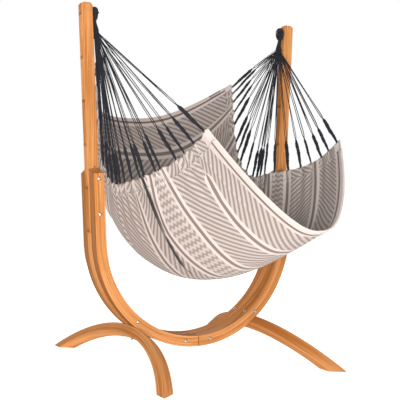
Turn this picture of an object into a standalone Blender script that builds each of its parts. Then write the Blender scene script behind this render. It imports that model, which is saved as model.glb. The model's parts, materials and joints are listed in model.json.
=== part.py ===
"""Hammock on a laminated wood stand.

Metres, +Z up, X from the left post to the right post, -Y towards the open
front of the seat.  The origin is on the floor under the centre of the whole
object's box.  The stand is symmetric in X and about the plane y = STAND_Y.
Two J-shaped halves meet under the seat; each half is three layers thick and
clamps a straight post between its outer layers.  Two arched feet cross under
the halves.  The hammock hangs from a bolt through the top of each post and
swings about the common axis of the two bolts.
"""
import math

import bmesh
import bpy
import numpy as np
from mathutils import Matrix, Vector

# ---------------------------------------------------------------- dimensions
STAND_Y = 0.1635          # the stand's own mid plane
GAP = 0.0003             # left between touching pieces

# J beams
BEND_R = 0.568           # mid radius of the bend
BEND_Z = 0.674           # height of the bend's centre
BEAM_T = 0.057           # beam thickness, along the radius
LAYER_Y = 0.060          # depth of the front and of the rear beam
CORE_Y = 0.045           # depth of the middle layer
CORE_STEP = 0.003        # the middle layer lies back from the outer layers
LEAN = math.radians(2.5)  # posts lean outwards
BEAM_TOP = 1.025
BEAM_CHAMFER = 0.020
EDGE_R = 0.0026          # worked edges of the wood
JOINT_SLOT = 0.005       # open slot where the two halves meet
TONGUE_X = -0.115        # the right middle layer reaches across the joint
BEND_STEPS = 26

# posts
POST_W = 0.060           # along X
POST_OUT = 0.034         # outer face, from the beam's mid line
POST_BOTTOM = 0.700
POST_TOP = 1.855
POST_CHAMFER = 0.012

# feet
FOOT_PHI = math.radians(36.0)   # where the feet cross, from the bottom
FOOT_R = 1.008           # radius of the upper face
FOOT_LIFT = 0.0033       # the crown is cut flat by this much as a seat
FOOT_T = 0.050           # thickness
FOOT_W = 0.060           # width
FOOT_STEPS = 40

# fasteners
BOLT_R = 0.004
HOLE_R = 0.0045
HEAD_R = 0.010
HEAD_H = 0.0055
SOCKET_R = 0.0032
NUT_R = 0.0075
NUT_H = 0.0075
NUT_DOME_R = 0.0056
CLAMP_Z = (0.973, 0.794)         # upper clamp bolts
LOWER_PHI = (math.radians(39.5), math.radians(7.7))
FOOT_BOLT_Y = 0.0525
SPARE_HOLE_Z = 1.033

# hanging point
HANG_Z = 1.812
HANG_BOLT_R = 0.005
SLEEVE_R = 0.009
SLEEVE_L = 0.0235
LOOP_X = 0.5785          # mid plane of the eye
LOOP_TUBE_R = 0.0085
LOOP_HALF = 0.021        # half width of the eye's own centre line
NECK_X = 0.5680          # lower end of the wrapped neck
NECK_Z = 1.733
NECK_R = 0.012

# cords
CORDS = 20
CORD_R = 0.0017
FINGER_R = 0.0038
FINGER_L = (0.150, 0.115, 0.150)   # rear, middle, front

# cloth: stations from the rear hem to the front hem
CLOTH_T = 0.006
MID_Y = (0.788, 0.549, 0.365, 0.024, -0.377, -0.757, -1.116)
MID_Z = (1.342, 1.040, 0.659, 0.451, 0.483, 0.612, 0.757)
EDGE_X = (0.432, 0.425, 0.416, 0.395, 0.383, 0.386, 0.384)
EDGE_Y = (0.314, 0.178, 0.096, -0.019, -0.190, -0.440, -0.743)
EDGE_Z = (1.526, 1.314, 1.046, 0.976, 1.004, 1.070, 1.190)
SKEW_X = (0.015, -0.035, -0.045, -0.010, 0.006, 0.064, 0.027)
SKEW_Y = (-0.013, 0.012, 0.008, -0.001, 0.015, 0.009, 0.004)
SKEW_Z = (0.014, 0.036, 0.054, 0.018, 0.008, -0.015, -0.014)
CUP = (2.587, 2.655, 2.608, 2.576, 2.605)
CUP_SKEW = (-0.009, -0.044, -0.038, -0.010, 0.149)
BELLY = (0.025, 0.162, 0.062, -0.057, -0.107)
DRIFT_X = (0.006, -0.013, -0.003, 0.015, -0.010)
BAND = 0.045             # part of the half width taken by each end band
HEM = 0.018              # part of the length taken by each hem

# ------------------------------------------------------------------- helpers
for old in list(bpy.data.objects):
    bpy.data.objects.remove(old, do_unlink=True)

parts = bpy.data.collections.new("hammock_on_stand")
cutters = bpy.data.collections.new("cutters")
bpy.context.scene.collection.children.link(parts)
bpy.context.scene.collection.children.link(cutters)


def material(name, colour, roughness, metallic=0.0):
    mat = bpy.data.materials.new(name)
    mat.use_nodes = True
    bsdf = mat.node_tree.nodes["Principled BSDF"]
    bsdf.inputs["Base Color"].default_value = (*colour, 1.0)
    bsdf.inputs["Roughness"].default_value = roughness
    bsdf.inputs["Metallic"].default_value = metallic
    mat.diffuse_color = (*colour, 1.0)
    return mat


WOOD = (0.80, 0.42, 0.17)
STEEL = (0.75, 0.75, 0.76)
CORD = (0.012, 0.012, 0.016)
FABRIC = (0.72, 0.66, 0.60)

stand = bpy.data.objects.new("stand_frame", None)
stand.location = (0.0, STAND_Y, 0.0)
parts.objects.link(stand)
swing = bpy.data.objects.new("swing_axis", None)
swing.location = (0.0, STAND_Y, HANG_Z)
parts.objects.link(swing)


def finish(obj, colour, roughness, metallic=0.0, parent=stand, smooth=35.0):
    """Material, parent and shading of one piece, built in stand coordinates."""
    obj.data.materials.clear()
    obj.data.materials.append(material(obj.name, colour, roughness, metallic))
    if parent is swing:
        obj.data.transform(Matrix.Translation((0.0, 0.0, -HANG_Z)))
    obj.parent = parent
    obj.data.shade_smooth()
    obj.data.set_sharp_from_angle(angle=math.radians(smooth))
    return obj


def make_object(name, mesh, collection=parts):
    obj = bpy.data.objects.new(name, mesh)
    collection.objects.link(obj)
    if collection is cutters:
        obj.hide_render = True
        obj.display_type = "WIRE"
    return obj


def baked(obj, name=None, collection=parts):
    """Replace an object by the mesh it evaluates to, in stand coordinates."""
    bpy.context.view_layer.update()
    graph = bpy.context.evaluated_depsgraph_get()
    mesh = bpy.data.meshes.new_from_object(obj.evaluated_get(graph))
    mesh.transform(obj.matrix_world)
    name = name or obj.name
    data = obj.data
    bpy.data.objects.remove(obj, do_unlink=True)
    if isinstance(data, bpy.types.Curve):
        bpy.data.curves.remove(data)
    bm = bmesh.new()
    bm.from_mesh(mesh)
    bmesh.ops.remove_doubles(bm, verts=bm.verts, dist=0.00001)
    bmesh.ops.dissolve_degenerate(bm, edges=bm.edges, dist=0.000005)
    bm.to_mesh(mesh)
    bm.free()
    mesh.name = name
    return make_object(name, mesh, collection)


def clean(obj, angle=0.004):
    """Join the flat faces of a mesh and turn every face outwards."""
    bm = bmesh.new()
    bm.from_mesh(obj.data)
    bmesh.ops.dissolve_limit(bm, angle_limit=angle, verts=bm.verts, edges=bm.edges)
    bmesh.ops.recalc_face_normals(bm, faces=bm.faces)
    bm.to_mesh(obj.data)
    bm.free()
    return obj


def plate(name, outline, depth, rotation=(math.pi / 2, 0.0, 0.0), at=(0, 0, 0)):
    """A flat outline with a thickness, centred on its own plane."""
    curve = bpy.data.curves.new(name, "CURVE")
    curve.dimensions = "2D"
    curve.fill_mode = "BOTH"
    curve.extrude = depth / 2
    spline = curve.splines.new("POLY")
    spline.points.add(len(outline) - 1)
    for point, (a, b) in zip(spline.points, outline):
        point.co = (a, b, 0.0, 1.0)
    spline.use_cyclic_u = True
    obj = bpy.data.objects.new(name, curve)
    parts.objects.link(obj)
    obj.rotation_euler = rotation
    obj.location = at
    return clean(baked(obj, name))


def arch(name, centre, e_r, e_t, r_top, r_seat):
    """A bent plank: a grid laid over its upper face, extruded to its lower one.

    e_r points down the radius of the bend, e_t across the plank's width.
    """
    reach = math.asin(0.72 / FOOT_R)
    under_r = FOOT_R - FOOT_T
    bm = bmesh.new()
    bmesh.ops.create_grid(bm, x_segments=FOOT_STEPS, y_segments=1, size=0.5)
    lower = bmesh.ops.extrude_face_region(bm, geom=list(bm.faces))["geom"]
    lower = {g for g in lower if isinstance(g, bmesh.types.BMVert)}
    for vert in bm.verts:
        b = reach * 2 * vert.co.x
        if vert in lower:
            y, r = under_r * math.sin(b), r_top + FOOT_T + under_r * (1 - math.cos(b))
        else:
            y, r = FOOT_R * math.sin(b), r_top + FOOT_R * (1 - math.cos(b))
            r = max(r, r_seat)
        vert.co = centre + Vector((0.0, y, 0.0)) + e_r * r + e_t * (vert.co.y * FOOT_W)
    bmesh.ops.recalc_face_normals(bm, faces=bm.faces)
    mesh = bpy.data.meshes.new(name)
    bm.to_mesh(mesh)
    bm.free()
    return make_object(name, mesh)


def add_bevel(obj, width, segments=1, angle=30.0):
    mod = obj.modifiers.new("worked_edge", "BEVEL")
    mod.width = width
    mod.segments = segments
    mod.limit_method = "ANGLE"
    mod.angle_limit = math.radians(angle)
    mod.harden_normals = False
    return obj


def rod(name, start, end, radius, sides=12, collection=cutters, turn=0.0):
    """A straight round bar between two points."""
    start, end = Vector(start), Vector(end)
    bm = bmesh.new()
    bmesh.ops.create_cone(bm, cap_ends=True, segments=sides, radius1=radius,
                          radius2=radius, depth=(end - start).length)
    mesh = bpy.data.meshes.new(name)
    bm.to_mesh(mesh)
    bm.free()
    mesh.transform(Matrix.Rotation(turn, 4, "Z"))
    mesh.transform((end - start).to_track_quat("Z", "Y").to_matrix().to_4x4())
    mesh.transform(Matrix.Translation((start + end) / 2))
    return make_object(name, mesh, collection)


def boolean(obj, tool, operation="DIFFERENCE"):
    mod = obj.modifiers.new(operation.lower(), "BOOLEAN")
    mod.operation = operation
    mod.solver = "EXACT"
    mod.object = tool
    return obj


def settle(obj):
    """Apply the modifiers of a piece and keep its name."""
    name = obj.name
    obj.name = name + "_raw"
    return baked(obj, name)


def drop(tools):
    for tool in tools:
        bpy.data.objects.remove(tool, do_unlink=True)


# ------------------------------------------------------- the J's own geometry
BEND_END = math.pi / 2 - LEAN
E_X = BEND_R * math.sin(BEND_END)
E_Z = BEND_Z - BEND_R * math.cos(BEND_END)
ALONG = (math.sin(LEAN), math.cos(LEAN))
OUT = (math.cos(LEAN), -math.sin(LEAN))


def on_straight(z, off):
    """Point of the straight part at height z on the mid line, off outwards."""
    s = (z - E_Z) / ALONG[1]
    return (E_X + s * ALONG[0] + off * OUT[0], E_Z + s * ALONG[1] + off * OUT[1])


def straight_s(s, off):
    return (E_X + s * ALONG[0] + off * OUT[0], E_Z + s * ALONG[1] + off * OUT[1])


def on_bend(phi, off):
    r = BEND_R + off
    return (r * math.sin(phi), BEND_Z - r * math.cos(phi))


def beam_outline(half, x_joint, top, chamfer):
    """Right-hand J: outer edge up, over the top, inner edge down."""
    s_top = (top - E_Z) / ALONG[1]
    points = []
    for off, order in ((half, 1), (-half, -1)):
        start = math.asin(x_joint / (BEND_R + off))
        edge = [on_bend(start + (BEND_END - start) * i / BEND_STEPS, off)
                for i in range(BEND_STEPS + 1)]
        if chamfer:
            edge.append(straight_s(s_top - chamfer, off))
            edge.append(straight_s(s_top, off - math.copysign(chamfer * 0.8, off)))
        else:
            edge.append(straight_s(s_top, off))
        points += edge[::order]
    return points


def sided(points, side):
    return points if side > 0 else [(-x, z) for x, z in reversed(points)]


# ------------------------------------------------------------------ fasteners
def bolt(name, head, direction, length, head_r=HEAD_R, head_h=HEAD_H, shaft_r=BOLT_R):
    """Round-headed bolt with a six-sided socket; head rests at its point."""
    steps = 3
    profile = [(0.0, head_h)]
    for i in range(1, steps + 1):
        a = math.pi / 2 * i / steps
        profile.append((head_r * math.sin(a), 0.0012 + (head_h - 0.0012) * math.cos(a)))
    profile += [(head_r, 0.0), (shaft_r, 0.0), (shaft_r, -length + 0.0008),
                (shaft_r - 0.0008, -length), (0.0, -length)]
    mesh = bpy.data.meshes.new(name)
    mesh.from_pydata([(x, 0.0, z) for x, z in profile],
                     [(i, i + 1) for i in range(len(profile) - 1)], [])
    obj = make_object(name + "_turned", mesh)
    mod = obj.modifiers.new("turn", "SCREW")
    mod.angle = 2 * math.pi
    mod.steps = mod.render_steps = 12
    mod.use_merge_vertices = True
    mod.merge_threshold = 0.00005
    turned = clean(baked(obj, name))
    socket = rod(name + "_socket", (0, 0, head_h + 0.004), (0, 0, head_h - 0.0032), SOCKET_R, sides=6)
    boolean(turned, socket)
    done = settle(turned)
    drop([socket])
    done.data.transform(Vector(direction).normalized().to_track_quat("Z", "Y").to_matrix().to_4x4())
    done.data.transform(Matrix.Translation(head))
    return finish(done, STEEL, 0.25, 1.0)


def cap_nut(name, seat, direction, bore=HOLE_R, size=1.0):
    """Six-sided nut with a dome; its flat side rests at its point."""
    body = rod(name + "_hex", (0, 0, 0), (0, 0, NUT_H * size), NUT_R * size, sides=6, collection=parts)
    add_bevel(body, 0.0006, 1)
    body = settle(body)
    dome = rod(name + "_dome", (0, 0, NUT_H * size - 0.002), (0, 0, NUT_H * size + 0.001),
               NUT_DOME_R * size, sides=12, collection=parts)
    bm = bmesh.new()
    bmesh.ops.create_uvsphere(bm, u_segments=10, v_segments=6, radius=NUT_DOME_R * size)
    bm.to_mesh(dome.data)
    bm.free()
    dome.data.transform(Matrix.Translation((0, 0, NUT_H * size)))
    boolean(body, dome, "UNION")
    hole = rod(name + "_hole", (0, 0, -0.002), (0, 0, NUT_H * size + 0.002), bore)
    boolean(body, hole)
    body = settle(body)
    drop([dome, hole])
    body.name = name
    body.data.name = name
    body.data.transform(Vector(direction).normalized().to_track_quat("Z", "Y").to_matrix().to_4x4())
    body.data.transform(Matrix.Translation(seat))
    return finish(body, STEEL, 0.25, 1.0)


# ---------------------------------------------------------------------- stand
SIDES = (("left", -1), ("right", 1))
LAYER_AT = CORE_Y / 2 + LAYER_Y / 2
FACE_Y = CORE_Y / 2 + LAYER_Y

for label, side in SIDES:
    # through holes shared by the layers
    clamp = []
    for k, z in enumerate(CLAMP_Z):
        x, zz = on_straight(z, 0.0)
        clamp.append((f"{label}_{('upper', 'lower')[k]}_clamp", side * x, zz))
    low = []
    for k, phi in enumerate(LOWER_PHI):
        x, zz = on_bend(phi, 0.0)
        low.append((f"{label}_{('foot', 'joint')[k]}_clamp", side * x, zz))
    through = [rod(n + "_cut", (x, -0.2, z), (x, 0.2, z), HOLE_R) for n, x, z in clamp + low]

    e_r = Vector((side * math.sin(FOOT_PHI), 0.0, -math.cos(FOOT_PHI)))
    e_t = Vector((math.cos(FOOT_PHI), 0.0, side * math.sin(FOOT_PHI)))
    centre = Vector((0.0, 0.0, BEND_Z))
    r_in = BEND_R - BEAM_T / 2
    r_out = BEND_R + BEAM_T / 2
    radial = []
    for tag, y in (("front", -FOOT_BOLT_Y), ("rear", FOOT_BOLT_Y)):
        at = centre + Vector((0.0, y, 0.0))
        radial.append((f"{label}_{tag}_foot", at,
                       rod(f"{label}_{tag}_foot_cut", at + e_r * (r_in - 0.03),
                           at + e_r * (r_out + 0.12), HOLE_R)))

    # front and rear beams
    outline = beam_outline(BEAM_T / 2, JOINT_SLOT / 2, BEAM_TOP, BEAM_CHAMFER)
    for tag, sign in (("front", -1), ("rear", 1)):
        beam = plate(f"{label}_{tag}_beam", sided(outline, side), LAYER_Y - 2 * GAP,
                     at=(0.0, sign * LAYER_AT, 0.0))
        add_bevel(beam, EDGE_R)
        for cut in through:
            boolean(beam, cut)
        boolean(beam, radial[0 if sign < 0 else 1][2])
        seat = rod(f"{label}_{tag}_seat_cut", centre + Vector((0, sign * FOOT_BOLT_Y, 0)) + e_r * (r_in - 0.03),
                   centre + Vector((0, sign * FOOT_BOLT_Y, 0)) + e_r * (r_in + 0.0008), HEAD_R + 0.0006, 16)
        boolean(beam, seat)
        beam = settle(beam)
        drop([seat])
        finish(beam, WOOD, 0.5)

    # middle layer; the right one reaches across the joint as a tongue
    half = BEAM_T / 2 - CORE_STEP
    x_joint = TONGUE_X if side > 0 else -TONGUE_X + 0.002
    core = plate(f"{label}_core_beam", sided(beam_outline(half, x_joint, POST_BOTTOM - GAP, 0.0), side),
                 CORE_Y - 2 * GAP)
    core_cuts = through[2:]
    if side > 0:
        x, zz = on_bend(LOWER_PHI[1], 0.0)
        tongue_cut = rod("tongue_cut", (-x, -0.2, zz), (-x, 0.2, zz), HOLE_R)
        for cut in core_cuts + [tongue_cut]:
            boolean(core, cut)
        core = settle(core)
        drop([tongue_cut])
    else:
        boolean(core, core_cuts[0])
        core = settle(core)
    finish(core, WOOD, 0.5)

    # post
    s0 = (POST_BOTTOM - E_Z) / ALONG[1]
    s1 = (POST_TOP - E_Z) / ALONG[1]
    inner = POST_OUT - POST_W
    c = POST_CHAMFER
    post_outline = [straight_s(s0, inner), straight_s(s0, POST_OUT),
                    straight_s(s1 - c, POST_OUT), straight_s(s1, POST_OUT - c),
                    straight_s(s1, inner + c), straight_s(s1 - c, inner)]
    post = plate(f"{label}_post", sided(post_outline, side), CORE_Y - 2 * GAP)
    add_bevel(post, EDGE_R)
    x_out = on_straight(HANG_Z, POST_OUT)[0]
    x_in = on_straight(HANG_Z, inner)[0]
    bore = rod("bore", (side * (x_in - 0.05), 0, HANG_Z), (side * (x_out + 0.05), 0, HANG_Z), HANG_BOLT_R + 0.0006)
    counter = rod("counter", (side * (x_out - 0.013), 0, HANG_Z), (side * (x_out + 0.05), 0, HANG_Z), 0.0115, 16)
    spare_x, spare_z = on_straight(SPARE_HOLE_Z, -0.004)
    spare = rod("spare", (side * spare_x, -0.2, spare_z), (side * spare_x, 0.2, spare_z), HOLE_R)
    for cut in through[:2] + [bore, counter, spare]:
        boolean(post, cut)
    post = settle(post)
    drop([bore, counter, spare])
    finish(post, WOOD, 0.5)

    # foot: an arch across Y, in the plane of Y and the bend's radius
    r_top = r_out - FOOT_LIFT
    under_r = FOOT_R - FOOT_T
    foot = arch(f"{label}_foot", centre, e_r, e_t, r_top, r_out + GAP)
    floor_cut = rod("floor_cut", (side * 0.5, 0, -0.5), (side * 0.5, 0, 0.0), 1.6, 4)
    boolean(foot, floor_cut)
    foot = settle(foot)
    drop([floor_cut])
    add_bevel(foot, EDGE_R)
    for _, _, cut in radial:
        boolean(foot, cut)
    foot = settle(foot)
    finish(foot, WOOD, 0.5)

    # clamp bolts: heads in front, cap nuts behind
    reach_y = 2 * FACE_Y
    for name, x, z in clamp + low:
        bolt(name + "_bolt", (x, -FACE_Y - GAP, z), (0, -1, 0), reach_y + 0.0085)
        cap_nut(name + "_nut", (x, FACE_Y + GAP, z), (0, 1, 0))
    # foot bolts: heads on the inside of the bend, nuts under the foot
    for (name, at, _) in radial:
        y = abs(at.y)
        under_at = r_top + FOOT_T + under_r - math.sqrt(under_r ** 2 - (y + NUT_R) ** 2)
        bolt(name + "_bolt", at + e_r * (r_in + 0.0005), tuple(-e_r), under_at - r_in + 0.0085)
        cap_nut(name + "_nut", at + e_r * (under_at + GAP), tuple(e_r))
    drop(through + [r[2] for r in radial])

    # hanging point, all on one axis along X
    slope = math.tan(LEAN) * (SLEEVE_R + 0.001)
    face = x_in - slope - GAP
    sleeve = rod(f"{label}_sleeve", (side * face, 0, HANG_Z), (side * (face - SLEEVE_L), 0, HANG_Z),
                 SLEEVE_R, 20, parts)
    core_hole = rod("core_hole", (side * (face + 0.01), 0, HANG_Z), (side * (face - 0.05), 0, HANG_Z),
                    HANG_BOLT_R + 0.0004)
    boolean(sleeve, core_hole)
    sleeve = settle(sleeve)
    finish(sleeve, STEEL, 0.35, 1.0)
    washer_at = face - SLEEVE_L - GAP
    washer = rod(f"{label}_washer", (side * washer_at, 0, HANG_Z), (side * (washer_at - 0.002), 0, HANG_Z),
                 0.0135, 20, parts)
    add_bevel(washer, 0.0005, 1)
    boolean(washer, core_hole)
    washer = settle(washer)
    finish(washer, STEEL, 0.3, 1.0)
    drop([core_hole])
    nut_at = washer_at - 0.002 - GAP
    head_at = x_out - 0.013 + GAP
    hang = bolt(f"{label}_hanging_bolt", (side * head_at, 0, HANG_Z), (side, 0, 0),
                head_at - nut_at + 0.0085, head_r=0.0095, head_h=0.0065, shaft_r=HANG_BOLT_R - 0.0002)
    cap_nut(f"{label}_hanging_nut", (side * nut_at, 0, HANG_Z), (-side, 0, 0), bore=HANG_BOLT_R + 0.0006, size=1.25)

# ------------------------------------------------------------------- hammock


def spline_through(values, t):
    """Natural cubic spline through evenly spaced values, at t in 0..1."""
    y = np.asarray(values, float)
    n = len(y) - 1
    a = np.zeros((n + 1, n + 1))
    rhs = np.zeros(n + 1)
    a[0, 0] = a[n, n] = 1.0
    for i in range(1, n):
        a[i, i - 1:i + 2] = (1.0, 4.0, 1.0)
        rhs[i] = 6.0 * (y[i - 1] - 2 * y[i] + y[i + 1])
    m = np.linalg.solve(a, rhs)
    u = np.clip(np.asarray(t, float), 0.0, 1.0) * n
    i = np.minimum(u.astype(int), n - 1)
    f = u - i
    return (y[i] * (1 - f) + y[i + 1] * f
            + ((1 - f) ** 3 - (1 - f)) * m[i] / 6 + (f ** 3 - f) * m[i + 1] / 6)


def cloth_point(s, v):
    """Cloth's mid surface: s from -1 (left edge) to 1, v from rear to front."""
    s = np.asarray(s, float)
    v = np.asarray(v, float)
    a = np.maximum(np.abs(s), 1e-6)
    power = spline_through(CUP, v) + spline_through(CUP_SKEW, v) * s
    rise = a ** power
    half = spline_through(EDGE_X, v) + spline_through(SKEW_X, v) * s
    y_edge = spline_through(EDGE_Y, v) + spline_through(SKEW_Y, v) * s
    z_edge = spline_through(EDGE_Z, v) + spline_through(SKEW_Z, v) * s
    y_mid, z_mid = spline_through(MID_Y, v), spline_through(MID_Z, v)
    x = half * (s + spline_through(BELLY, v) * np.sin(math.pi * s)) + spline_through(DRIFT_X, v) * (1 - a ** 2)
    return np.stack([x, y_mid + (y_edge - y_mid) * rise, z_mid + (z_edge - z_mid) * rise], -1)


def panel(name, s_range, v_range, cells, thickness=CLOTH_T, lift=0.0, colour=FABRIC):
    """A strip of the cloth as a grid laid on the surface and thickened."""
    bm = bmesh.new()
    bmesh.ops.create_grid(bm, x_segments=cells[0], y_segments=cells[1], size=0.5)
    mesh = bpy.data.meshes.new(name)
    bm.to_mesh(mesh)
    bm.free()
    uv = np.array([(p.co.x + 0.5, p.co.y + 0.5) for p in mesh.vertices])
    s = s_range[0] + uv[:, 0] * (s_range[1] - s_range[0])
    v = v_range[0] + uv[:, 1] * (v_range[1] - v_range[0])
    points = cloth_point(s, v)
    if lift:
        e = 1e-4
        ds = cloth_point(s + e, v) - cloth_point(s - e, v)
        dv = cloth_point(s, np.clip(v + e, 0, 1)) - cloth_point(s, np.clip(v - e, 0, 1))
        normal = np.cross(ds, dv)
        normal /= np.linalg.norm(normal, axis=1)[:, None]
        points = points + normal * lift
    for vert, p in zip(mesh.vertices, points):
        vert.co = p
    obj = make_object(name, mesh)
    mod = obj.modifiers.new("thickness", "SOLIDIFY")
    mod.thickness = thickness
    mod.offset = 0.0
    mod.use_even_offset = False
    obj = settle(obj)
    bm = bmesh.new()
    bm.from_mesh(obj.data)
    bmesh.ops.recalc_face_normals(bm, faces=bm.faces)
    bm.to_mesh(obj.data)
    bm.free()
    return finish(obj, colour, 0.9, parent=swing, smooth=80.0)


SLIT = 0.0022            # in s and v, clears the corners of the thick edges
LABEL_OFF = 0.0022       # clears the facets of the curved cloth behind the labels
inner = 1.0 - BAND
panel("cloth", (-inner, inner), (HEM, 1 - HEM), (20, 30))
panel("rear_hem", (-inner, inner), (0.0, HEM - SLIT), (20, 1))
panel("front_hem", (-inner, inner), (1 - HEM + SLIT, 1.0), (20, 1))
panel("left_end_band", (-1.0, -inner - SLIT), (0.0, 1.0), (1, 30))
panel("right_end_band", (inner + SLIT, 1.0), (0.0, 1.0), (1, 30))
panel("rear_label", (0.857, 0.930), (0.0015, 0.0150), (3, 1), 0.0012, lift=-(CLOTH_T / 2 + LABEL_OFF))
panel("side_label", (0.972, 0.996), (0.188, 0.205), (1, 1), 0.0012, lift=CLOTH_T / 2 + LABEL_OFF)

for label, side in SIDES:
    # the eye: a teardrop ring of wrapped cord round the sleeve
    curve = bpy.data.curves.new("eye", "CURVE")
    curve.dimensions = "3D"
    curve.bevel_depth = LOOP_TUBE_R
    curve.bevel_resolution = 2
    count = 22
    spline = curve.splines.new("POLY")
    spline.points.add(count - 1)
    rest_z = HANG_Z + SLEEVE_R + 0.0016 + LOOP_TUBE_R
    low_z = NECK_Z + 0.043
    for i, point in enumerate(spline.points):
        a = 2 * math.pi * i / count
        z = (rest_z + low_z) / 2 + (rest_z - low_z) / 2 * math.cos(a)
        point.co = (side * LOOP_X, LOOP_HALF * math.sin(a) * (0.86 + 0.14 * math.cos(a)), z, 1.0)
    spline.use_cyclic_u = True
    eye = bpy.data.objects.new("eye", curve)
    parts.objects.link(eye)
    eye = baked(eye, f"{label}_hanging_loop")
    neck = rod("neck", (side * LOOP_X, 0, low_z + 0.003), (side * NECK_X, 0, NECK_Z + GAP), NECK_R, 14, parts)
    boolean(eye, neck, "UNION")
    eye = settle(eye)
    drop([neck])
    bm = bmesh.new()
    bm.from_mesh(eye.data)
    bmesh.ops.recalc_face_normals(bm, faces=bm.faces)
    bm.to_mesh(eye.data)
    bm.free()
    finish(eye, CORD, 0.8, parent=swing)

    # the fan: every cord runs from the neck to the cloth's side edge
    bm = bmesh.new()
    bmesh.ops.create_uvsphere(bm, u_segments=16, v_segments=10, radius=1.0)
    crown_mesh = bpy.data.meshes.new("crown")
    bm.to_mesh(crown_mesh)
    bm.free()
    crown_z = NECK_Z - 0.017
    crown_mesh.transform(Matrix.Diagonal((0.012, 0.019, 0.0165, 1.0)))
    crown_mesh.transform(Matrix.Translation((side * NECK_X, 0, crown_z)))
    fan = make_object(f"{label}_cord_fan", crown_mesh)
    bundle = bpy.data.collections.new(f"{label}_cords")
    cutters.children.link(bundle)
    start = Vector((side * NECK_X, 0, crown_z))
    for i in range(CORDS):
        t = (i + 0.35) / (CORDS - 0.3)
        edge = Vector(cloth_point(side * 1.0, t))
        run = edge - start
        direction = run.normalized()
        off = (edge - Vector(cloth_point(side * 0.98, t))).normalized()
        end = edge + off * (FINGER_R + 0.0012)
        direction = (end - start).normalized()
        finger = float(spline_through(FINGER_L, t))
        curve = bpy.data.curves.new("cord", "CURVE")
        curve.dimensions = "3D"
        curve.bevel_depth = 0.001
        curve.bevel_resolution = 0
        curve.use_fill_caps = True
        spline = curve.splines.new("POLY")
        spline.points.add(3)
        places = (start + direction * 0.008, end - direction * (finger + 0.012),
                  end - direction * finger, end)
        for point, place, r in zip(spline.points, places, (CORD_R, CORD_R, FINGER_R, FINGER_R * 0.9)):
            point.co = (*place, 1.0)
            point.radius = r / 0.001
        cord = bpy.data.objects.new("cord", curve)
        parts.objects.link(cord)
        cord = baked(cord, f"{label}_cord_{i:02d}", parts)
        parts.objects.unlink(cord)
        bundle.objects.link(cord)
        cord.hide_render = True
        cord.display_type = "WIRE"
    mod = fan.modifiers.new("gather", "BOOLEAN")
    mod.operation = "UNION"
    mod.solver = "EXACT"
    mod.operand_type = "COLLECTION"
    mod.collection = bundle
    fan = settle(fan)
    drop(list(bundle.objects))
    bpy.data.collections.remove(bundle)
    finish(fan, CORD, 0.8, parent=swing)
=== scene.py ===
import json
import math

import bmesh
import bpy
import numpy as np
from mathutils import Matrix, Vector


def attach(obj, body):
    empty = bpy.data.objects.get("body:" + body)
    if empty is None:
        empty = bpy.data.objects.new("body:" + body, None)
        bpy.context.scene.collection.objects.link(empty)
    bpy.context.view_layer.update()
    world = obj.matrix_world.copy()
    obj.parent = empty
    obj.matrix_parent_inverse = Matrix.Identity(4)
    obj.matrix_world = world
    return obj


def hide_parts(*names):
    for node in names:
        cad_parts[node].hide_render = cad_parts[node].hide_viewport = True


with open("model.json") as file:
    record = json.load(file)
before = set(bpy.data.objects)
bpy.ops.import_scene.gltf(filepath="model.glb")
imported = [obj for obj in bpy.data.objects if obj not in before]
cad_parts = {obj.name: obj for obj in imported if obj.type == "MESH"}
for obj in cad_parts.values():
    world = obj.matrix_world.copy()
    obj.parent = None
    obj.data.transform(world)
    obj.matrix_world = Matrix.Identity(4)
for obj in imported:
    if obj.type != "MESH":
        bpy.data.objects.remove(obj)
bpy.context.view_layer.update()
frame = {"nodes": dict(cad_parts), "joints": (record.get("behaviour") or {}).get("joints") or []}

JOINT = frame["joints"][0]
SY, HANG_Z = JOINT["pos_m"][1], JOINT["pos_m"][2]
AT = np.array([0.0, SY, 0.0])
SIDES = (("left", -1), ("right", 1))

# ------------------------------------------------------------------- camera
PSI, PITCH, ROLL = 0.5342479, -0.0296166, 0.0067473
fwd = Vector((math.sin(PSI) * math.cos(PITCH), math.cos(PSI) * math.cos(PITCH), math.sin(PITCH)))
right = Vector((math.cos(PSI), -math.sin(PSI), 0.0))
up = right.cross(fwd)
r2 = math.cos(ROLL) * right + math.sin(ROLL) * up
u2 = -math.sin(ROLL) * right + math.cos(ROLL) * up
camera_data = bpy.data.cameras.new("camera")
camera_data.lens = 76.04
camera_data.sensor_width = 36.0
camera_data.clip_end = 60.0
camera = bpy.data.objects.new("camera", camera_data)
camera.matrix_world = Matrix(((r2.x, u2.x, -fwd.x, -2.293091), (r2.y, u2.y, -fwd.y, -3.962769 + SY),
                              (r2.z, u2.z, -fwd.z, 0.995216), (0, 0, 0, 1)))
bpy.context.scene.collection.objects.link(camera)
bpy.context.scene.camera = camera


# ------------------------------------------------------------ mesh building
def new_object(name, verts, faces, attributes=None, smooth=True):
    mesh = bpy.data.meshes.new(name)
    mesh.from_pydata([tuple(p) for p in np.asarray(verts, float) + AT], [], faces)
    for key, values in (attributes or {}).items():
        values = np.asarray(values, np.float32)
        kind = "FLOAT" if values.ndim == 1 else "FLOAT_VECTOR"
        layer = mesh.attributes.new(key, kind, "POINT")
        layer.data.foreach_set("value" if values.ndim == 1 else "vector", values.ravel())
    if smooth:
        mesh.shade_smooth()
    mesh.update()
    obj = bpy.data.objects.new(name, mesh)
    bpy.context.scene.collection.objects.link(obj)
    return obj


def quads(nu, nv, start=0, flip=False, wrap_v=False):
    """Faces of a grid whose point (i, j) is number start + i * nv + j."""
    out = []
    last = nv if wrap_v else nv - 1
    for i in range(nu - 1):
        for j in range(last):
            k = (j + 1) % nv
            q = (start + i * nv + j, start + (i + 1) * nv + j, start + (i + 1) * nv + k, start + i * nv + k)
            out.append(q[::-1] if flip else q)
    return out


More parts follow.
